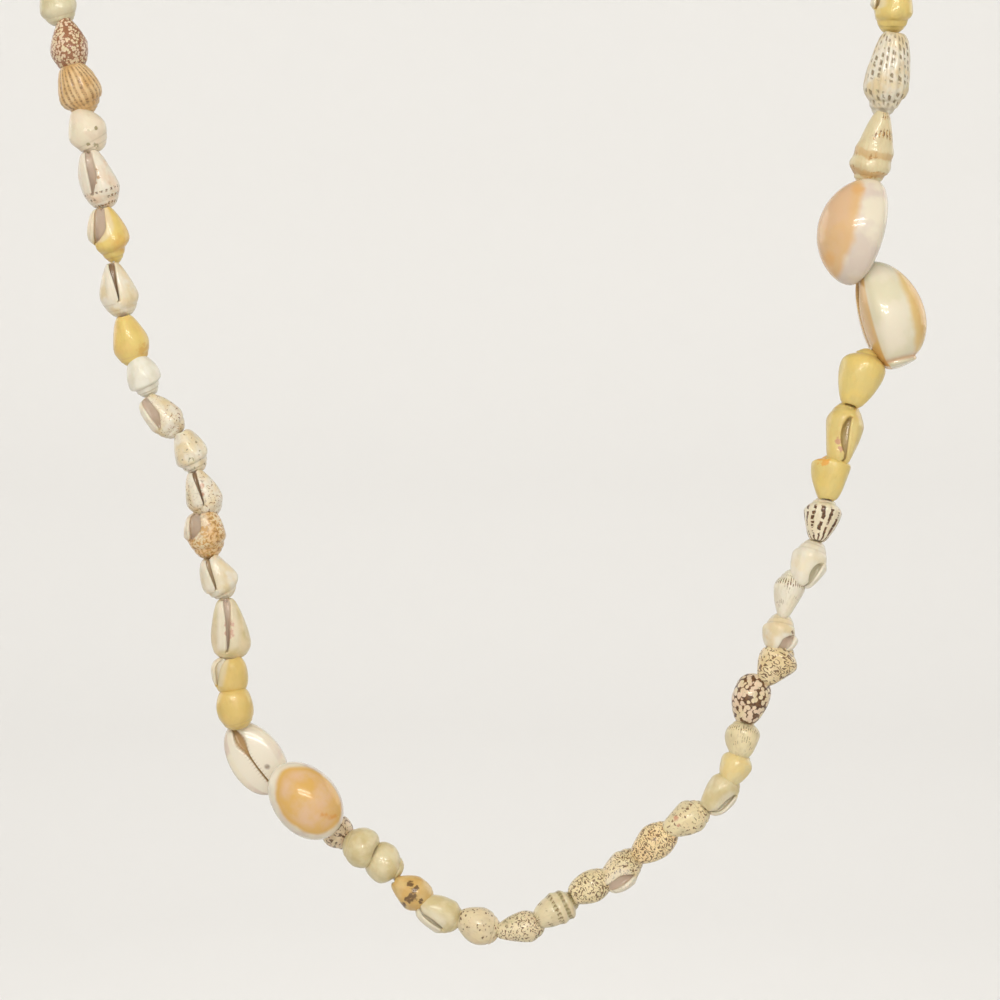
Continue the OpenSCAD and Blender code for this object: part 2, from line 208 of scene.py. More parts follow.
bend_angle = math.pi / 2 - RISE
bend_z = -NECK_R * math.sin(RISE) - BEND_R * math.sin(bend_angle)
right_top = Vector((SHOWN[-1][1], FRONT_Y, VIEW_TOP - SHOWN[-1][2]))
left_top = Vector((SHOWN[0][1], FRONT_Y, VIEW_TOP - SHOWN[0][2]))
right_bend = Vector((NECK_R, FRONT_Y, bend_z))
left_bend = Vector((-NECK_R, FRONT_Y, bend_z))
bend_start = (right_bend - right_top).length
neck_start = bend_start + BEND_R * bend_angle
neck_end = neck_start + math.pi * NECK_R
bend_end = neck_end + BEND_R * bend_angle
hidden_length = bend_end + (left_top - left_bend).length


def over_shoulder(side, angle):
    """A point of the bend over one shoulder."""
    back = FRONT_Y + BEND_R * (1 - math.cos(angle))
    return Vector((side * NECK_R, back, bend_z + BEND_R * math.sin(angle)))


def route(s):
    """The point of the string that lies s mm on from the last shown shell."""
    if s < bend_start:
        return right_top.lerp(right_bend, s / bend_start)
    if s < neck_start:
        return over_shoulder(1, (s - bend_start) / BEND_R)
    if s < neck_end:
        angle = (s - neck_start) / NECK_R
        low = 1 - math.sin(angle)
        back = -NECK_R * math.cos(RISE) * low
        return Vector((NECK_R * math.cos(angle), back, -NECK_R * math.sin(RISE) * low))
    if s < bend_end:
        return over_shoulder(-1, (bend_end - s) / BEND_R)
    return left_bend.lerp(left_top, (s - bend_end) / (hidden_length - bend_end))


class Strung:
    """One shell of the string: its name, centre, sizes, and how it is turned."""

    def __init__(self, name, centre, length, width, turn, heading, roll, shown):
        self.name = name
        self.centre = centre
        self.length = length
        self.width = width
        self.cowrie = str(name).startswith("cowrie")
        self.shown = shown
        tilt = 0 if self.cowrie else SMALL_TILT
        turns = Matrix.Rotation(turn, 3, "Z") @ Matrix.Rotation(math.radians(180 - heading), 3, "Y")
        turns = turns @ Matrix.Rotation(math.radians(tilt), 3, "X")
        self.turns = turns @ Matrix.Rotation(math.radians(roll), 3, "Z")


string = []
for name, x, drop, depth, length, width, heading, roll in SHOWN:
    centre = Vector((x, FRONT_Y + depth, VIEW_TOP - drop))
    string.append(Strung(name, centre, length, width, 0, heading, roll, True))
hidden = []
for small, cowries, along in HIDDEN_RUNS:
    hidden += [(False, i, along) for i in range(small)]
    hidden += [(True, i, along) for i in range(cowries)]
hidden_sizes = [HIDDEN_COWRIE[i] if cowrie else HIDDEN_SMALL[i % 5] for cowrie, i, along in hidden]
last_reach = SHOWN[-1][4] * LAP_SHARE
spread = hidden_length - last_reach - SHOWN[0][4] * LAP_SHARE
spread = spread / sum(pitch for pitch, length, width in hidden_sizes)
reached = 0
for (cowrie, i, along), (pitch, length, width) in zip(hidden, hidden_sizes):
    s = last_reach + (reached + pitch / 2) * spread
    reached += pitch
    way = (route(s + 0.5) - route(s - 0.5)).normalized()
    turn = 0 if math.hypot(way.x, way.y) < UPRIGHT else math.atan2(way.y, way.x)
    level = way.x * math.cos(turn) + way.y * math.sin(turn)
    heading = math.degrees(math.atan2(level, -way.z)) + (0 if along else 180)
    depth = HIDDEN_DEPTHS[i] if cowrie else 0
    centre = route(s) - Vector((math.sin(turn), -math.cos(turn), 0)) * depth
    roll = 180 * i if cowrie else ROLL_STEP * i
    name = f"cowrie_hidden_{i}" if cowrie else f"hidden_{i}"
    string.append(Strung(name, centre, length, width, turn, heading, roll, False))


def knot(i):
    """Where the line passes from shell i to the next."""
    a = string[i % len(string)]
    b = string[(i + 1) % len(string)]
    return a.centre.lerp(b.centre, a.length / (a.length + b.length))


def line_mesh(bm, first, last):
    """Adds the line from shell first to shell last: a ring at each point, bridged to the next."""
    points = [knot(first - 1)]
    for i in range(first, last + 1):
        points += [string[i % len(string)].centre, knot(i)]
    rings = []
    for i, point in enumerate(points):
        way = points[min(i + 1, len(points) - 1)] - points[max(i - 1, 0)]
        place = Matrix.Translation(point) @ way.to_track_quat("Z", "Y").to_matrix().to_4x4()
        ring = bmesh.ops.create_circle(
            bm, segments=LINE_SIDES, radius=THREAD_D / 2, matrix=place,
            cap_ends=i in (0, len(points) - 1),
        )
        rings.append({edge for vert in ring["verts"] for edge in vert.link_edges})
    for here, there in zip(rings, rings[1:]):
        bmesh.ops.bridge_loops(bm, edges=list(here | there))


class Wire:
    """One output of a finish's nodes. A sum written with it adds Math nodes."""

    def __init__(self, finish, socket):
        self.finish = finish
        self.socket = socket

    def math(self, operation, first, second):
        return self.finish.add("ShaderNodeMath", {"operation": operation}, {0: first, 1: second})

    def __add__(self, other):
        return self.math("ADD", self, other)

    def __sub__(self, other):
        return self.math("SUBTRACT", self, other)

    def __rsub__(self, other):
        return self.math("SUBTRACT", other, self)

    def __mul__(self, other):
        return self.math("MULTIPLY", self, other)

    __radd__ = __add__

    def folded(self):
        """Goes up and down between 0 and a half as the wire's value grows."""
        return self.math("PINGPONG", self, 0.5)


class Finish:
    """A material whose nodes are added one after the other."""

    def __init__(self, name):
        self.material = bpy.data.materials.new(name)
        self.material.use_nodes = True
        self.tree = self.material.node_tree
        self.shader = self.tree.nodes["Principled BSDF"]

    def add(self, kind, settings, sockets, out=0):
        """Adds one node, with its settings first and then the values or wires of its sockets."""
        node = self.tree.nodes.new(kind)
        for key, value in settings.items():
            setattr(node, key, value)
        for key, value in sockets.items():
            self.join(node.inputs[key], value)
        return Wire(self, node.outputs[out])

    def join(self, socket, value):
        if isinstance(value, Wire):
            self.tree.links.new(value.socket, socket)
        else:
            socket.default_value = value

    def set(self, **sockets):
        """Sets the shader's own sockets. Their names have _ for a space."""
        for key, value in sockets.items():
            self.join(self.shader.inputs[key.replace("_", " ")], value)

    def value(self, name):
        return self.add("ShaderNodeAttribute", {"attribute_name": name}, {}, "Fac")

    def point(self, name):
        return self.add("ShaderNodeAttribute", {"attribute_name": name}, {}, "Vector")

    def scaled(self, point, scale):
        return self.add("ShaderNodeVectorMath", {"operation": "MULTIPLY"}, {0: point, 1: scale})

    def shifted(self, point, shift):
        return self.add("ShaderNodeVectorMath", {"operation": "ADD"}, {0: point, 1: shift})

    def noise(self, point, scale, detail=2.0, out="Fac"):
        sockets = {"Vector": point, "Scale": scale, "Detail": detail}
        return self.add("ShaderNodeTexNoise", {}, sockets, out)

    def cells(self, point, size):
        return self.add("ShaderNodeTexVoronoi", {}, {"Vector": point, "Scale": 1 / size}, "Distance")

    def way(self):
        """How many turns a place lies round its shell."""
        return self.add("ShaderNodeSeparateXYZ", {}, {0: self.point("way")}, "X")

    def between(self, wire, low, high):
        """0 below low, 1 above high, and a smooth step between."""
        sockets = {"Value": wire, "From Min": low, "From Max": high}
        return self.add("ShaderNodeMapRange", {"interpolation_type": "SMOOTHSTEP"}, sockets)

    def mix(self, mask, a, b):
        """Colour a where the mask is 0 and b where it is 1."""
        return self.add("ShaderNodeMix", {"data_type": "RGBA"}, {0: mask, 6: a, 7: b}, 2)

    def bump(self, height, distance, strength=1.0):
        sockets = {"Height": height, "Distance": distance, "Strength": strength}
        return self.add("ShaderNodeBump", {}, sockets, "Normal")


def paint(red, green, blue):
    """A colour as a picture shows it, 0 to 255, turned into the light it sends back."""
    shares = [x / 255 for x in (red, green, blue)]
    return (*[x / 12.92 if x <= 0.04045 else ((x + 0.055) / 1.055) ** 2.4 for x in shares], 1)


line_finish = Finish("fishing_line")
wear = line_finish.noise(line_finish.add("ShaderNodeTexCoord", {}, {}, "Object"), 900.0)
line_finish.set(
    Base_Color=line_finish.mix(wear, paint(225, 220, 205), paint(200, 195, 180)),
    Roughness=0.35,
    Coat_Weight=0.4,
)


def finished_piece(name, bm, materials, node):
    """Makes an object of a mesh that is in mm, and lets it stand for its node."""
    bmesh.ops.scale(bm, vec=(0.001, 0.001, 0.001), verts=bm.verts)
    mesh = bpy.data.meshes.new(name)
    bm.to_mesh(mesh)
    bm.free()
    for material in materials:
        mesh.materials.append(material)
    mesh.shade_smooth()
    piece = bpy.data.objects.new(name, mesh)
    scene.collection.objects.link(piece)
    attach(piece, "root")
    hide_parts(node)


# Places on the string of the first and the last shell that is a piece of its own
LONE_FIRST = 5
LONE_LAST = 44
bm = bmesh.new()
line_mesh(bm, LONE_FIRST, LONE_LAST)
bmesh.ops.recalc_face_normals(bm, faces=bm.faces)
finished_piece("fishing_line", bm, [line_finish.material], "thread")

# The small shells of the front
# Each is a glossy dove shell with a thick pale lip along its mouth, a round belly and a low stepped
# spire. Its open nose rides over the spire of the next one.
ROWS = 66
COLUMNS = 96
PIXELS_PER_MM = 5  # of the view, in which the single marks are placed
NOSE_ROWS = 6  # rows that lie inside the open nose
WHORL = 1.8  # each whorl is this much bigger than the one above it
BODY_GROWTH = 1.05  # and the last one gets this much wider in its turn
OUTER = 0.74  # share of the columns that lie outside the mouth
LIP_ROUND = 10  # degrees from the lip's edge to the start of the outside
PILLAR_ROUND = 348  # degrees from the pillar's edge, a turn earlier, to the end of the outside

# The fold of the mouth from the pillar's side to the lip's: which side, degrees on, share of radius
FOLD = [
    (0.0, -12.0, 1.00), (0.0, -6.0, 0.985), (0.0, -2.0, 0.95), (0.0, 0.0, 0.89), (0.0, 1.5, 0.80),
    (0.0, 5.0, 0.71), (0.35, 2.0, 0.66), (0.7, 2.0, 0.64), (1.0, 7.0, 0.68), (1.0, 12.0, 0.75),
    (1.0, 10.0, 0.82), (1.0, 4.0, 0.86), (1.0, 0.0, 0.90), (1.0, -1.5, 0.95), (1.0, 0.5, 1.00),
    (1.0, 4.0, 1.02), (1.0, 10.0, 1.00),
]
FOLD_SIDES, FOLD_DEGREES, FOLD_SHARES = zip(*FOLD)


class Blank:
    """A closed spindle with one unit to a row, whose rows and columns are then moved into shape."""

    def __init__(self, rows, columns):
        self.rows = rows
        self.columns = columns
        outline = [(0 if i in (0, rows) else 1, i) for i in range(rows + 1)]
        self.mesh = spun_mesh("blank", outline, columns)
        points = np.empty(len(self.mesh.vertices) * 3)
        self.mesh.vertices.foreach_get("co", points)
        points = points.reshape(-1, 3)
        self.row = np.round(points[:, 2])
        turns = np.arctan2(points[:, 1], points[:, 0]) / (2 * math.pi)
        self.column = np.round(turns * columns) % columns


def smooth(low, high, x):
    """0 below low, 1 above high, and a smooth step between."""
    t = np.clip((x - low) / (high - low), 0, 1)
    return t * t * (3 - 2 * t)


def bulge(x, centre, reach):
    return np.exp(-(((x - centre) / reach) ** 2))


class SmallForm:
    """What differs from one small shell to the next. Lengths are in mm, others are shares."""

    def __init__(self, seed, **made):
        self.slit = 1.2  # width of the mouth
        self.mouth = "wedge"  # how it widens from its top: wedge, pocket or lens
        self.lip_at = 0.2  # place of the lip's edge across the half width, at the nose
        self.lip_top = 0.2  # the same at the top of the mouth
        self.flare = 0.12  # how much wider the lip is at the nose
        self.top = 0.34  # from the tip of the spire down to the top of the mouth
        self.spire = 0.90  # width of the spire at its foot
        self.dome = 0.42  # how blunt the spire is, less for blunter
        self.terrace = 0.10  # how far each whorl of the spire steps in
        self.belly = 0.20  # from the foot of the spire down to the widest place
        self.round = 2.0  # how sharp the shoulder is, 2 for a round one
        self.nose = 0.42  # width of the nose
        self.taper = 1.45  # how late it narrows to the nose
        self.pale_lip = 1.0  # how white the lip is
        self.ribs = 0  # ribs from end to end
        self.rib_depth = 0.0
        self.steps = 0  # cords round the shell
        self.step_depth = 0.0
        chance = random.Random(seed)
        self.bend = chance.uniform(-0.2, 0.3)
        self.flat = chance.uniform(0.90, 1.0)
        self.shift = [chance.uniform(-60, 60) for axis in range(3)]
        self.waves = [chance.uniform(0, 2 * math.pi) for wave in range(3)]
        vars(self).update(made)


def whorl_radius(z, back, form):
    """Half width of a small shell at height z, a share back of a whole turn behind the lip."""
    drop = form.top * WHORL**-back
    top = 1 - drop
    down = (top - z) / top
    start = form.spire * (drop / form.top) ** form.dome
    left = np.clip(1 - down / form.belly, 0, 1)
    shoulder = start + (1 - start) * (1 - left**form.round)
    fall = 1 - (1 - form.nose) * np.clip((down - form.belly) / (1 - form.belly), 0, 1) ** form.taper
    body = np.where(down < form.belly, shoulder, fall) * BODY_GROWTH**-back
    tip = np.maximum(1 - z, 1e-6)
    turns = np.log(tip / drop) / math.log(WHORL)
    step = turns % 1
    ledge = 1.02 - form.terrace * (step + 0.6 * bulge(step, 0, 0.1))
    spire = form.spire * (tip / form.top) ** form.dome * ledge
    lip = 0.05 * bulge(back, 0.035, 0.035) - 0.02 * bulge(back, 0.13, 0.04)
    lip = lip + form.flare * bulge(back, 0, 0.12) * smooth(0.62, 0.05, z)
    flat = 0.06 * smooth(0.85, 1.0, back)
    body = body * (1 + (lip - flat) * smooth(0.0, 0.2, down))
    return np.where(down > 0, body, spire), down, turns


def mouth_width(open_share, form):
    """Width of a small shell's mouth in mm, a share of the way from its top to the nose."""
    if form.mouth == "pocket":
        return form.slit * smooth(-0.04, 0.5, open_share)
    if form.mouth == "lens":
        bow = np.sin(math.pi * np.clip(open_share / 0.8, 0, 1)) ** 0.8
        return form.slit * (0.92 * bow + 0.08 * smooth(0, 0.1, open_share))
    return form.slit * (0.85 * open_share**1.3 + 0.15 * smooth(0, 0.15, open_share))


def small_points(blank, shell, form):
    """Points of one small shell in mm, nose down, with the values that its finish reads."""
    row = blank.row
    column = blank.column
    columns = blank.columns
    q = (row - NOSE_ROWS) / (blank.rows - NOSE_ROWS)
    z = np.interp(q, [0, 0.08, 0.44, 0.88, 1], [0.012, 0.06, 0.62, 0.95, 1])
    nose_z = [0.06, 0.06, 0.035, 0.012, 0.0, 0.002]
    nose_share = [0, 0.35, 0.42, 0.50, 0.62, 0.74]
    inside = row < NOSE_ROWS
    share = np.interp(q, [0, 0.03, 0.08, 0.14], [0.82, 0.90, 0.97, 1.0])
    share = np.where(inside, np.interp(row, range(NOSE_ROWS), nose_share), share)
    share = np.where(row == blank.rows, 0.0, share)
    z = np.where(inside, np.interp(row, range(NOSE_ROWS), nose_z), z)

    half = shell.width / 2
    mouth_top = 1 - form.top
    open_share = np.clip((mouth_top - z) / mouth_top, 0, 1)
    front = half * whorl_radius(np.minimum(z, mouth_top), np.zeros_like(z), form)[0]
    lip_x = half * (form.lip_top + (form.lip_at - form.lip_top) * open_share)
    limit = front * 0.92
    lip_side = np.degrees(np.arcsin(np.clip(lip_x, -limit, limit) / front))
    pillar_x = np.minimum(lip_x, limit) - mouth_width(open_share, form)
    pillar_side = np.degrees(np.arcsin(np.clip(pillar_x, -limit, limit) / front))

    outer = int(columns * OUTER)
    t = np.clip(column / (outer - 1), 0, 1)
    from_lip = lip_side + LIP_ROUND
    to_pillar = PILLAR_ROUND + pillar_side
    round_outer = from_lip + (to_pillar - from_lip) * t
    tau = np.clip((column - outer + 1) / (columns - outer + 1), 0, 1)
    closed = to_pillar + (from_lip + 360 - to_pillar) * tau
    steps = np.linspace(0, 1, len(FOLD))
    side = np.interp(tau, steps, FOLD_SIDES)
    fold = 360 + pillar_side + (lip_side - pillar_side) * side
    fold = fold + np.interp(tau, steps, FOLD_DEGREES)
    depth = np.interp(tau, steps, FOLD_SHARES)
    opened = smooth(0.0, 0.10, open_share)
    in_fold = column >= outer
    azimuth = np.where(in_fold, closed + (fold - closed) * opened, round_outer)
    depth = np.where(in_fold, 1 + (depth - 1) * opened, 1.0)

    back = np.where(in_fold, 1.0, t)
    radius, down, turns = whorl_radius(z, back, form)
    lip_radius = whorl_radius(z, np.zeros_like(z), form)[0]
    radius = np.where(in_fold, radius + (lip_radius - radius) * smooth(0, 1, tau), radius)
    fade = smooth(0.0, 0.06, t) * smooth(1.0, 0.9, t) * smooth(0.0, 0.1, z) * ~in_fold
    rib_wave = 0.8 * np.sin(9 * z) + 0.9 * np.sin(10 * math.pi * t + 5 * z)
    rib = np.cos(2 * math.pi * form.ribs * (t + 0.1 * z) + rib_wave)
    rib = rib * fade * smooth(0.86, 0.74, z) if form.ribs else fade * 0
    ripple = form.rib_depth * rib
    ripple = ripple + form.step_depth * np.cos(2 * math.pi * form.steps * z) * smooth(0.3, 0.55, z) * fade
    radius = radius * (1 + ripple)
    angle = np.radians(azimuth)
    waves = form.waves
    wobble = np.sin(2 * angle + 5 * z + waves[0]) + np.sin(3 * angle - 8 * z + waves[1])
    wobble = wobble + 0.6 * np.sin(5 * angle + 11 * z + waves[2])
    radius = radius * (1 + 0.016 * wobble * smooth(1.0, 0.8, z))
    radius = radius * half * depth * share

    notch = 0.05 * bulge(azimuth - 360, (pillar_side + lip_side) / 2, 22) * smooth(0.16, 0.0, z)
    x = radius * np.sin(angle) + form.bend * (1 - z) ** 2
    y = -radius * np.cos(angle) * form.flat
    points = np.stack([x, y, (z + notch - 0.5) * shell.length], axis=1)

    hollow = np.maximum(np.clip((0.93 - depth) / 0.2, 0, 1), np.clip((0.62 - share) / 0.15, 0, 1))
    hollow = np.where(row == blank.rows, 0, hollow)
    degrees_back = np.where(in_fold, 0, azimuth - lip_side)
    lip = np.where(in_fold, smooth(0.6, 0.75, tau), smooth(40, 20, degrees_back))
    pillar = np.where(in_fold, smooth(0.5, 0.3, tau), smooth(0.90, 0.97, t))
    lip = np.maximum(lip, 0.6 * pillar) * smooth(0.02, 0.14, open_share) * form.pale_lip
    # Painted shade along the sutures, in the creases where the whorls meet
    seam = np.where(down > 0, bulge(turns, 0, 0.06), bulge((turns + 0.5) % 1 - 0.5, 0, 0.12))
    seam = seam * smooth(0.99, 0.95, z)
    values = {"hollow": hollow, "lip": lip, "seam": seam, "high": z, "rib": rib}
    return points, azimuth / 360, z, values


def pixel_place(px, py):
    """The point of the lei's front plane, in mm, that one pixel of the view shows."""
    return Vector((VIEW_LEFT + px / PIXELS_PER_MM, FRONT_Y, VIEW_TOP - py / PIXELS_PER_MM))


def marked(points, marks):
    """How far each point in mm lies inside the marks, which are seen from the front."""
    value = np.zeros(len(points))
    middle = points[:, 1].mean()
    for px, py, reach in marks:
        spot = pixel_place(px, py)
        apart = np.hypot(points[:, 0] - spot.x, points[:, 2] - spot.z) / (reach / PIXELS_PER_MM)
        value = np.maximum(value, np.clip(1.5 - apart, 0, 1) * (points[:, 1] < middle))
    return value


def placed_mesh(blank, shell, made, shift, marks):
    """A copy of the blank with its points on the string, and its values as attributes."""
    points, u, v, values = made
    mesh = blank.mesh.copy()
    turns = np.array(shell.turns)
    world = points @ turns.T + np.array(shell.centre)
    mesh.vertices.foreach_set("co", world.ravel())
    values["mark"] = marked(world, marks)
    for name, value in values.items():
        mesh.attributes.new(name, "FLOAT", "POINT").data.foreach_set("value", value)
    local = points + np.array(shift)
    mesh.attributes.new("place", "FLOAT_VECTOR", "POINT").data.foreach_set("vector", local.ravel())
    corner = np.empty(len(mesh.loops), int)
    mesh.loops.foreach_get("vertex_index", corner)
    start = np.empty(len(mesh.polygons), int)
    mesh.polygons.foreach_get("loop_start", start)
    total = np.empty(len(mesh.polygons), int)
    mesh.polygons.foreach_get("loop_total", total)
    face = np.repeat(np.arange(len(start)), total)
    column = blank.column[corner]
    last = np.maximum.reduceat(column, start)[face]
    wraps = (last > blank.columns / 2) & (column < blank.columns / 4)
    uv = np.stack([u[corner] + wraps, v[corner]], axis=1)
    mesh.uv_layers.new(name="way").data.foreach_set("uv", uv.ravel())
    return mesh


def add_to(bm, mesh, material_index):
    """Adds a shell's mesh to a piece's."""
    mesh.polygons.foreach_set("material_index", [material_index] * len(mesh.polygons))
    bm.from_mesh(mesh)
    bpy.data.meshes.remove(mesh)


def small_mesh(blank, shell, form, marks=()):
    """One small shell, in its place."""
    return placed_mesh(blank, shell, small_points(blank, shell, form), form.shift, marks)


# What differs from the usual form, for each shell that shows its mouth or has a form of its own
POCKET = dict(mouth="pocket", slit=2.5, lip_at=0.5, lip_top=0.86, flare=0.35)
LENS = dict(mouth="lens", slit=1.4, lip_at=0.5, lip_top=0.5, flare=0.12)
BLUNT = dict(top=0.3, spire=0.94, dome=0.34, terrace=0.05)
YELLOW_LIP = dict(pale_lip=0.1, terrace=0.03, taper=1.3)
SHIELD = dict(top=0.24, spire=0.72, dome=0.45, belly=0.28, nose=0.44, taper=1.7)
FORMS = {
    1: BLUNT,
    2: BLUNT | dict(nose=0.26, belly=0.3, taper=1.25),
    3: dict(nose=0.52, belly=0.24, ribs=20, rib_depth=0.03, taper=1.9, terrace=0.13, top=0.3),
    4: BLUNT | dict(nose=0.34, belly=0.3, taper=1.5, top=0.36),
    5: BLUNT | dict(mouth="pocket", slit=2.0, nose=0.46, taper=1.8, lip_top=0.5, top=0.28),
    6: POCKET | dict(slit=2.8, top=0.4, spire=0.86, dome=0.55, taper=1.6, terrace=0.08),
    7: BLUNT | dict(slit=1.8, top=0.3, nose=0.36, lip_at=0.28, taper=1.4, terrace=0.03),
    8: BLUNT | dict(nose=0.44, taper=1.5, belly=0.26),
    9: dict(nose=0.36, round=3.0, belly=0.14, top=0.34, spire=0.84, dome=0.3, taper=2.2),
    10: POCKET | BLUNT | dict(slit=2.2, lip_at=0.5, lip_top=0.62, top=0.34, taper=1.6),
    11: BLUNT | dict(round=3.0, nose=0.42, taper=1.5, top=0.36, terrace=0.1),
    12: BLUNT | dict(slit=1.3, nose=0.42, taper=1.5),
    13: POCKET | BLUNT | dict(slit=2.5, lip_at=0.7, top=0.46, nose=0.62, taper=2.0, flare=0.1),
    14: dict(slit=1.2, lip_at=0.28, lip_top=0.34, top=0.32, spire=0.92, dome=0.42, nose=0.5),
    15: BLUNT | dict(slit=2.2, lip_at=0.26, lip_top=0.5, top=0.16, nose=0.46, taper=1.7),
    16: BLUNT | dict(nose=0.72, belly=0.36, taper=2.6, slit=1.6, lip_at=0.3, lip_top=0.5),
    17: BLUNT | dict(nose=0.66, belly=0.3, taper=2.2),
    18: dict(nose=0.5, belly=0.3),
    19: BLUNT | dict(nose=0.7, belly=0.45, taper=2.6, spire=0.8),
    20: BLUNT | dict(nose=0.56, belly=0.4, taper=2.2, top=0.26, spire=0.7, terrace=0.1),
    21: BLUNT | dict(nose=0.3, belly=0.3, taper=1.4),
    22: LENS | BLUNT | dict(slit=0.6, lip_at=0.2, lip_top=0.5, nose=0.56, taper=2.0),
    23: BLUNT | dict(terrace=0.1, nose=0.42, taper=1.7, belly=0.3),
    24: BLUNT | dict(nose=0.36, taper=1.4, top=0.26),
    25: dict(nose=0.5, steps=4, step_depth=0.055, top=0.26, spire=0.8, dome=0.4, taper=2.0),
    26: BLUNT | dict(nose=0.5, belly=0.32, taper=1.7),
    27: POCKET | BLUNT | dict(slit=2.0, lip_at=0.5, lip_top=0.6, nose=0.5, top=0.4),
    28: BLUNT | dict(nose=0.42, taper=1.5, belly=0.3),
    29: BLUNT | dict(nose=0.4, taper=1.4, terrace=0.1),
    30: LENS | BLUNT | dict(nose=0.5, slit=1.0, lip_at=0.1, lip_top=0.2, taper=1.7, flare=0.2),
    31: SHIELD | dict(nose=0.5, spire=0.8),
    32: SHIELD | dict(nose=0.46, spire=0.8),
    33: BLUNT | dict(nose=0.46, belly=0.34, taper=1.8, top=0.24),
    34: SHIELD | dict(nose=0.36, belly=0.26, taper=1.4),
    35: POCKET | BLUNT | dict(slit=2.4, lip_at=0.5, lip_top=0.7, top=0.5, nose=0.5, taper=1.7),
    36: SHIELD | dict(nose=0.28, belly=0.26, taper=1.3, spire=0.8),
    37: LENS | BLUNT | dict(slit=1.5, lip_at=0.45, lip_top=0.66, nose=0.44, top=0.42),
    38: SHIELD | dict(nose=0.44, ribs=16, rib_depth=0.012, spire=0.8, belly=0.2, taper=1.4),
    39: SHIELD | dict(nose=0.46, belly=0.16, round=2.8, top=0.16, spire=0.64, taper=1.4),
    40: LENS | YELLOW_LIP | dict(slit=1.9, lip_top=0.45, nose=0.5, top=0.26, spire=0.9, belly=0.2),
    41: SHIELD | dict(nose=0.42, taper=1.6, belly=0.24, top=0.18, spire=0.62, round=2.3),
    42: dict(nose=0.34, steps=4, step_depth=0.045, top=0.22, taper=1.3, spire=0.9, dome=0.35),
    43: dict(nose=0.54, ribs=17, rib_depth=0.04, top=0.3, taper=1.6, spire=0.86, dome=0.5),
    44: BLUNT | dict(nose=0.55, top=0.44, spire=0.88, slit=0.7, lip_at=0.9, lip_top=0.9),
}

WHITE = (236, 230, 214)
CREAM = (230, 213, 175)
IVORY = (224, 212, 174)
STRAW = (212, 196, 148)
PINKISH = (234, 210, 184)
GOLD = (206, 160, 92)
TAN = (172, 130, 80)
RUST = (150, 102, 70)
BROWN = (118, 82, 48)
DARK = (84, 54, 30)
OLIVE = (150, 138, 92)
GREY = (158, 148, 128)
YELLOW = (232, 206, 122)
LEMON = (226, 204, 128)
AMBER = (224, 182, 94)
MUSTARD = (222, 194, 116)
ORANGE = (230, 166, 72)
SALMON = (204, 150, 122)
MAUVE = (196, 176, 158)
TAUPE = (178, 154, 122)
UMBER = (140, 112, 82)


def plain(ground, shade, seams=TAN, inside=TAUPE):
    """The look of a shell without a pattern; its seam colour is painted shade in the sutures. Its dark
    marks, their size and share aren't used.
    """
    return ("plain", ground, shade, seams, BROWN, 1.0, 0.1, inside)
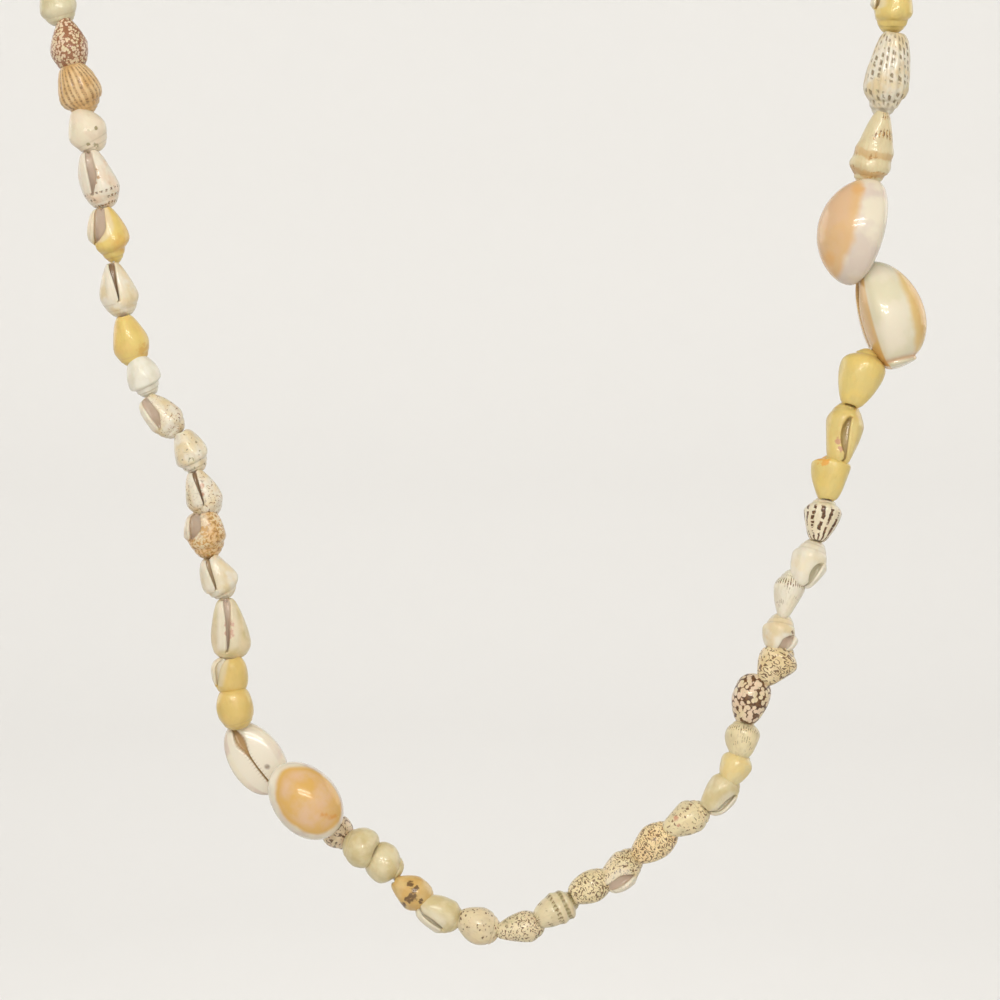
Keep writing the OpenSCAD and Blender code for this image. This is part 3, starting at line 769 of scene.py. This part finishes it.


# number: pattern, ground, shade of the ground, marks (also the colour of the painted shade in the
# sutures), dark marks, size in mm, share covered, inside
LOOKS = {
    1: plain((224, 216, 184), (212, 202, 164)),
    2: ("netted", CREAM, PINKISH, (166, 116, 82), RUST, 0.55, 0.56, TAUPE),
    3: ("ribbed", (234, 204, 156), (220, 180, 122), TAN, BROWN, 0.6, 0.6, TAUPE),
    4: plain((236, 226, 202), (236, 222, 200), OLIVE),
    5: ("dotted", WHITE, PINKISH, TAN, DARK, 1.0, 0.45, MAUVE),
    6: plain(YELLOW, AMBER, TAN, MAUVE),
    7: plain(CREAM, WHITE, TAN, UMBER),
    8: plain(YELLOW, (234, 200, 122), SALMON),
    9: plain((238, 236, 224), (230, 226, 210)),
    10: ("scribbled", CREAM, WHITE, TAN, BROWN, 0.8, 0.25, MAUVE),
    11: ("scribbled", WHITE, CREAM, GREY, OLIVE, 1.3, 0.15, TAUPE),
    12: ("scribbled", CREAM, WHITE, TAN, BROWN, 0.8, 0.35, UMBER),
    13: ("blotched", (228, 194, 146), CREAM, GOLD, TAN, 0.5, 0.5, MAUVE),
    14: plain(CREAM, WHITE),
    15: plain(CREAM, STRAW, (212, 168, 146), MAUVE),
    16: plain(MUSTARD, (228, 198, 122), GOLD, WHITE),
    17: plain(MUSTARD, (228, 198, 122)),
    18: ("scribbled", PINKISH, CREAM, BROWN, DARK, 1.3, 0.6, TAUPE),
    19: plain(STRAW, IVORY),
    20: plain(STRAW, IVORY),
    21: plain((214, 176, 104), (220, 190, 130), GOLD),
    22: plain(STRAW, IVORY, OLIVE, (196, 188, 166)),
    23: ("speckled", (226, 211, 178), CREAM, BROWN, DARK, 0.9, 0.55, TAUPE),
    24: ("scribbled", (236, 220, 184), IVORY, BROWN, DARK, 0.8, 0.55, TAUPE),
    25: ("banded", IVORY, (226, 212, 178), OLIVE, BROWN, 1.9, 0.55, TAUPE),
    26: ("scribbled", (242, 226, 184), (228, 212, 168), BROWN, DARK, 0.8, 0.65, TAUPE),
    27: ("scribbled", (242, 226, 190), (228, 212, 168), BROWN, DARK, 0.8, 0.6, MAUVE),
    28: ("scribbled", (248, 226, 178), (240, 212, 162), BROWN, DARK, 0.75, 0.75, TAUPE),
    29: ("scribbled", (238, 222, 180), IVORY, BROWN, BROWN, 1.0, 0.3, TAUPE),
    30: plain(IVORY, STRAW, TAN, (206, 198, 176)),
    31: plain((232, 210, 148), (226, 212, 164)),
    32: ("ticked", (234, 220, 180), IVORY, OLIVE, BROWN, 0.6, 0.4, TAUPE),
    33: ("netted", CREAM, PINKISH, BROWN, DARK, 0.9, 0.46, TAUPE),
    34: ("scribbled", (242, 224, 184), (232, 210, 162), BROWN, DARK, 1.1, 0.7, TAUPE),
    35: plain(CREAM, WHITE, BROWN, MAUVE),
    36: ("ticked", WHITE, (236, 228, 206), OLIVE, BROWN, 0.7, 0.5, TAUPE),
    37: plain(WHITE, (236, 226, 200), OLIVE, (188, 180, 154)),
    38: ("striped", (240, 234, 214), (236, 224, 194), BROWN, DARK, 1.3, 0.5, TAUPE),
    39: plain(YELLOW, LEMON, ORANGE),
    40: plain(LEMON, MUSTARD, SALMON, (176, 152, 98)),
    41: plain(YELLOW, LEMON),
    42: ("banded", IVORY, (226, 212, 172), GOLD, BROWN, 2.4, 0.2, TAUPE),
    43: ("chequered", WHITE, CREAM, (158, 142, 110), (124, 104, 74), 1.0, 0.5, TAUPE),
    44: plain(YELLOW, LEMON),
}
# number: colour and places of single marks: pixel across, pixel down, reach in pixels
MARKS = {
    4: (OLIVE, [(86, 131, 1.5), (91, 132, 1.5), (98, 130, 2), (97, 147, 3), (90, 146, 2)]),
    5: (TAN, [(99, 172, 2), (101, 179, 2), (98, 185, 2)]),
    8: (AMBER, [(148, 352, 9)]),
    12: (SALMON, [(203, 486, 3), (204, 494, 2)]),
    13: (GOLD, [(206, 530, 6)]),
    15: ((210, 168, 148), [(231, 624, 5), (231, 633, 5)]),
    21: (
        DARK,
        [(411, 883, 4), (416, 887, 4), (413, 895, 5), (408, 898, 4), (403, 904, 4), (421, 899, 3)],
    ),
    29: (SALMON, [(675, 817, 3), (678, 824, 2)]),
    35: (BROWN, [(791, 632, 2)]),
    39: (ORANGE, [(822, 460, 7)]),
    40: (SALMON, [(837, 441, 4), (839, 449, 4)]),
}


def small_finish(number, look, marks_colour):
    """The glossy finish of one small shell, with the pattern that its look names."""
    pattern, ground, shade, mark, dark, size, cover, inside = look
    ground, shade, mark, dark, inside = (paint(*c) for c in (ground, shade, mark, dark, inside))
    finish = Finish(f"shell_{number:02d}_glaze")
    mix = finish.mix
    between = finish.between
    noise = finish.noise
    place = finish.point("place")
    along = finish.value("high")
    cloud = noise(place, 0.30, 3.0)
    grain = noise(place, 2.6, 4.0)
    growth = noise(finish.scaled(place, (2.4, 2.4, 0.5)), 0.8, 3.0)
    colour = mix(between(cloud, 0.38, 0.64), ground, shade)
    stain = noise(finish.scaled(place, (1.0, 1.0, 0.6)), 0.55, 4.0)
    stained = finish.scaled(colour, (0.80, 0.75, 0.66))
    colour = mix(between(stain, 0.46, 0.72) * 0.35, colour, stained)
    if pattern != "plain":
        colour = mix(between(growth, 0.45, 0.8) * 0.2, colour, mark)
        tone = mix(between(grain, 0.42, 0.58), mark, dark)
        limit = 0.5 + 0.3 * (0.5 - cover)
        drift = noise(place, 0.8 / size, 2.0, "Color")
        bent = finish.shifted(place, finish.scaled(drift, (size * 0.6, size * 0.6, size * 0.6)))
        gate = noise(place, 0.45 / size**0.5, 2.0)
    if pattern == "blotched":
        patch = noise(bent, 0.9 / size, 3.0) + grain * 0.12 - 0.06
        colour = mix(between(patch, limit - 0.04, limit + 0.05), colour, mark)
        colour = mix(between(patch, limit + 0.07, limit + 0.12), colour, dark)
    elif pattern == "netted":
        cells = finish.cells(bent, size)
        reach = gate * 0.5 + (0.80 - cover) * 0.9 + grain * 0.1 - 0.03
        dots = between(reach - cells, -0.05, 0.05)
        colour = mix(dots, tone, colour)
    elif pattern == "speckled":
        cells = finish.cells(finish.scaled(bent, (1.0, 1.0, 1.4)), size)
        dots = between(cells, 0.38, 0.24) * between(gate, limit - 0.06, limit + 0.04)
        colour = mix(dots * 0.9, colour, tone)
    elif pattern == "scribbled":
        lines = noise(finish.scaled(bent, (1.0, 1.0, 1.3)), 0.55 / size, 1.5) * 6.0
        broken = noise(place, 1.5 / size, 2.0)
        line = between(lines.folded(), 0.22, 0.34) * between(broken, limit - 0.03, limit + 0.03)
        patch = between(gate, 0.30, 0.45)
        colour = mix(line * patch * 0.9, colour, tone)
    elif pattern == "ticked":
        turn = finish.way() * (26.0 / size) + cloud
        belt = between(along, 0.60, 0.66) * between(along, 0.78, 0.72)
        line = between(turn.folded(), 0.22, 0.36) * between(grain, 0.40, 0.5)
        spread = between(gate, 0.56, 0.62) * 0.6
        colour = mix(line * (belt * (0.5 + cover) + spread), colour, tone)
    elif pattern in ("dotted", "banded"):
        rows = along * (9.0 / size) + cloud * 0.8
        line = between(rows.folded(), 0.22, 0.38)
        turn = finish.way() * 22.0 + grain * 1.5
        dashes = between(turn.folded(), 0.2, 0.34) * between(gate, limit - 0.12, limit - 0.02)
        belt = between(along, 0.60, 0.68) if pattern == "dotted" else 1.0
        colour = mix(line * dashes * belt * 0.9, colour, tone)
        if pattern == "banded":
            colour = mix(line * between(along, 0.3, 0.65) * 0.6, colour, mark)
    elif pattern == "chequered":
        rows = along * (12.0 / size) + finish.way() * 6.0 + cloud * 1.5 + grain * 0.4
        row = between(rows.folded(), 0.14, 0.26) * between(finish.value("rib"), 0.3, -0.5)
        bare = 1.0 - between(along, 0.54, 0.57) * between(along, 0.68, 0.65)
        colour = mix(row * bare * between(gate, 0.36, 0.48) * 0.9, colour, tone)
    elif pattern == "ribbed":
        groove = between(finish.value("rib"), 0.4, -0.7)
        colour = mix(groove * 0.55, colour, mark)
        dashes = noise(finish.scaled(place, (0.8, 0.8, 2.2)), 0.9 / size, 2.0)
        colour = mix(groove * between(dashes, 0.48, 0.58) * 0.6, colour, dark)
    elif pattern == "striped":
        turn = finish.way() * (16.0 / size) + cloud * 1.2
        line = between(turn.folded() + grain * 0.3, 0.40, 0.50)
        dashes = noise(finish.scaled(place, (0.4, 0.4, 1.6)), 1.1 / size, 2.0)
        belt = between(along, 0.76, 0.68)
        dashes = between(dashes, limit - 0.10, limit - 0.04)
        colour = mix(between(along, 0.72, 0.5) * 0.5, colour, shade)
        colour = mix(line * dashes * belt, colour, tone)
    colour = mix(finish.value("lip") * 0.75, colour, paint(*WHITE))
    spot = finish.value("mark") * (noise(place, 1.3, 2.0) * 3.0 - 0.6)
    colour = mix(between(spot, 0.35, 0.85) * 0.85, colour, paint(*marks_colour))
    # Painted shade in the creases of the sutures, in the colour of the marks
    colour = mix(finish.value("seam") * 0.2, colour, mark)
    colour = mix(finish.value("hollow"), colour, inside)
    finish.set(
        Base_Color=colour,
        Roughness=0.28 + between(grain, 0.3, 0.8) * 0.12,
        Coat_Weight=0.6,
        Coat_Roughness=0.08,
        Subsurface_Weight=0.08,
        Subsurface_Scale=0.0015,
        Normal=finish.bump(growth * 0.6 + grain * 0.4, 0.00016),
    )
    return finish.material


def shown_small(shell):
    """Mesh and material of a shown small shell."""
    number = shell.name
    marks_colour, marks = MARKS.get(number, (BROWN, ()))
    mesh = small_mesh(small_blank, shell, SmallForm(number, **FORMS[number]), marks)
    return mesh, small_finish(number, LOOKS[number], marks_colour)


small_blank = Blank(ROWS, COLUMNS)
for shell in string[LONE_FIRST:LONE_LAST + 1]:
    if shell.cowrie:
        continue
    mesh, material = shown_small(shell)
    bm = bmesh.new()
    add_to(bm, mesh, 0)
    node = f"shell_{shell.name:02d}"
    finished_piece(f"sea{node}", bm, [material], node)

# The cowries
# Two pairs of ring cowries, strung base to base: a glossy egg-shaped shell with a high back, a flat
# base, and a long toothed slit along the middle of the base.
COWRIE_ROWS = 84
COWRIE_COLUMNS = 96
BASE_SHARE = 0.36
TOOTH_PITCH = 0.7


def cowrie_points(blank, shell, height, lean=0.1, point=0.95, tilt=0.0, beak=0.0):
    """Points of one cowrie in mm, back towards +Y, with the values that its finish reads."""
    length = shell.length
    width = shell.width
    a = math.pi * blank.row / blank.rows
    u = blank.column / blank.columns
    angle = 2 * math.pi * u - 0.72 * np.sin(2 * math.pi * u)
    z = -length / 2 * np.cos(a)
    share = z / (length / 2)
    radius = width / 2 * np.sin(a) ** point * (1 - lean * np.cos(a))
    notch = beak * bulge(share, 0.84, 0.035)
    radius = radius * (1 - 0.07 * notch + 0.3 * beak * bulge(share, 0.93, 0.05))
    front = np.cos(angle)
    x = radius * np.sin(angle)
    back = radius * 2 * height * (1 - BASE_SHARE) / width
    base = height * BASE_SHARE * np.sin(a) ** (0.65 * point)
    y = np.where(front < 0, -front * back, -np.clip(front, 0, 1) ** 0.5 * base)
    centre = width * 0.05 * (1 - share**2)
    half = width * (0.010 + 0.050 * bulge(share, -0.55, 0.28))
    apart = np.abs(x - centre)
    on_base = smooth(0.1, 0.35, front)
    groove = smooth(2.2, 0.6, apart / half) * smooth(1.0, 0.9, np.abs(share)) * on_base
    reach = width * 0.09 * smooth(0.95, 0.5, np.abs(share))
    fringe = smooth(0.6, 1.4, apart / half) * smooth(half + reach, half, apart) * on_base
    y = y + groove * height * 0.12
    crown = np.where(front < 0, np.clip(y / (height * (1 - BASE_SHARE)), 0, 1), 0)
    crown = crown + tilt * x / (width / 2) * smooth(0.0, -0.2, front)
    values = {"hollow": groove, "crown": crown, "fringe": fringe, "notch": notch, "along": z}
    values["base"] = smooth(0.66, 0.74, front)
    return np.stack([x, y, z], axis=1), u, (share + 1) / 2, values


def cowrie_mesh(blank, shell, shape, marks=()):
    """One cowrie, in its place."""
    made = cowrie_points(blank, shell, *shape)
    return placed_mesh(blank, shell, made, (shell.centre.x, 0, 0), marks)


def cowrie_finish(name, edge, margin_colour, ring_colour, crown_colour, base_colour, marks_colour):
    """White and lilac round the base, a gold ring from the edge on, and a peach back inside it."""
    finish = Finish(name)
    mix = finish.mix
    between = finish.between
    noise = finish.noise
    place = finish.point("place")
    cloud = noise(place, 0.14, 3.0)
    grain = noise(place, 1.8, 4.0)
    height = finish.value("crown") + (cloud - 0.5) * 0.35
    colour = mix(between(cloud, 0.4, 0.6), paint(236, 228, 208), margin_colour)
    inner = mix(between(cloud + grain * 0.1, 0.45, 0.7), crown_colour, ring_colour)
    colour = mix(between(height, edge - 0.08, edge + 0.12), colour, ring_colour)
    colour = mix(between(height, edge + 0.08, edge + 0.30), colour, inner)
    colour = mix(finish.value("base"), colour, base_colour)
    spot = finish.value("mark") * (0.3 + noise(place, 0.9, 3.0) * 1.4)
    colour = mix(between(spot, 0.1, 1.2) * 0.7, colour, marks_colour)
    teeth = finish.value("along") * (1 / TOOTH_PITCH) + grain * 0.4
    teeth = between(teeth.folded(), 0.28, 0.42) * finish.value("fringe")
    colour = mix(teeth * 0.35, colour, paint(150, 122, 84))
    colour = mix(finish.value("notch") * 0.6, colour, paint(206, 142, 84))
    colour = mix(finish.value("hollow") * 0.9, colour, paint(172, 130, 62))
    finish.set(
        Base_Color=colour,
        Roughness=0.2 + between(grain, 0.3, 0.8) * 0.08,
        Coat_Weight=0.6,
        Coat_Roughness=0.05,
        Subsurface_Weight=0.08,
        Subsurface_Scale=0.002,
        Normal=finish.bump(grain, 0.00002),
    )
    return finish.material


PEACH = (224, 188, 150)
RING = (222, 178, 100)
LILAC = (222, 208, 196)
# name: height, how much broader one end is, how pointed the ends are, how much further the ring
# reaches on one side, and how far the far end stands out
COWRIE_SHAPES = {
    "cowrie_left_back": (8.0, 0.08, 0.92, 0.0, 0.0),
    "cowrie_left_front": (9.0, 0.04, 1.0, 0.25, 0.0),
    "cowrie_right_lower": (12.8, 0.10, 1.1, 0.0, 1.0),
    "cowrie_right_upper": (13.0, 0.0, 1.2, 0.0, 0.0),
}
# name: where the ring starts, and the colours of the margin, the ring, the back, the base and marks
COWRIE_LOOKS = {
    # The dark brown colour of the left back one's marks is the painted shade of its string hole
    "cowrie_left_back": (0.35, LILAC, RING, PEACH, (236, 229, 213), (104, 76, 50)),
    "cowrie_left_front": (0.48, LILAC, RING, PEACH, (232, 224, 204), (216, 144, 48)),
    "cowrie_right_lower": (0.44, (228, 222, 194), (230, 200, 136), RING, (222, 182, 118), GOLD),
    "cowrie_right_upper": (0.28, LILAC, (226, 188, 138), PEACH, (226, 216, 204), (228, 176, 108)),
}
# Single marks on the cowries, as for the small shells; on one a dark spot is painted shade for the hole
# through which it is strung
COWRIE_MARKS = {
    "cowrie_left_back": [(267, 767, 2.8)],
    "cowrie_left_front": [(325, 810, 2.4), (329, 811, 2.6), (333, 813, 2.6), (337, 812, 2.4)],
    "cowrie_right_upper": [(855, 192, 7), (826, 261, 7)],
}
cowrie_blank = Blank(COWRIE_ROWS, COWRIE_COLUMNS)
for shell in string[LONE_FIRST:LONE_LAST + 1]:
    if not shell.cowrie:
        continue
    edge, *colours = COWRIE_LOOKS[shell.name]
    finish = cowrie_finish(f"{shell.name}_glaze", edge, *[paint(*colour) for colour in colours])
    marks = COWRIE_MARKS.get(shell.name, ())
    bm = bmesh.new()
    add_to(bm, cowrie_mesh(cowrie_blank, shell, COWRIE_SHAPES[shell.name], marks), 0)
    finished_piece(f"glossy_{shell.name}", bm, [finish], shell.name)
peach_back = bpy.data.materials.get("cowrie_left_front_glaze")

# The strands round the neck
# More of the same shells, strung up from the front over the shoulders and round behind the neck.
# Each strand is one piece of its shells and its stretch of line.

# name, place of its first shell on the string, and how many shells it has
STRANDS = [
    ("strand_right_front", 45, 12),
    ("strand_right_shoulder", 57, 14),
    ("strand_neck_right", 71, 12),
    ("strand_neck_left", 83, 12),
    ("strand_left_front", 95, 14),
]
FAR_ROWS = 36
FAR_COLUMNS = 48
FAR_COWRIE_ROWS = 48
FAR_COWRIE_COLUMNS = 60
FAR_COWRIE_HEIGHT = 9.6
# The looks that the shells out of view take in turn
FAR_LOOKS = [20, 26, 6, 33, 9, 13, 32, 28, 41, 12, 4, 21, 15, 29, 17, 24]
far_blank = Blank(FAR_ROWS, FAR_COLUMNS)
far_cowrie_blank = Blank(FAR_COWRIE_ROWS, FAR_COWRIE_COLUMNS)
far_glazes = {number: bpy.data.materials.get(f"shell_{number:02d}_glaze") for number in FAR_LOOKS}
far_glazes[4] = small_finish(4, LOOKS[4], OLIVE)

for name, first, count in STRANDS:
    bm = bmesh.new()
    materials = [line_finish.material]
    for i in range(first, first + count):
        shell = string[i % len(string)]
        if shell.cowrie:
            mesh = cowrie_mesh(far_cowrie_blank, shell, (FAR_COWRIE_HEIGHT,))
            material = peach_back
        elif shell.shown:
            mesh, material = shown_small(shell)
        else:
            mesh = small_mesh(far_blank, shell, SmallForm(i))
            material = far_glazes[FAR_LOOKS[i * 7 % len(FAR_LOOKS)]]
        if material not in materials:
            materials.append(material)
        add_to(bm, mesh, materials.index(material))
    line_bm = bmesh.new()
    line_mesh(line_bm, first, first + count - 1)
    bmesh.ops.recalc_face_normals(line_bm, faces=line_bm.faces)
    line = bpy.data.meshes.new("line")
    line_bm.to_mesh(line)
    line_bm.free()
    add_to(bm, line, 0)
    finished_piece(f"sea{name}", bm, materials, name)
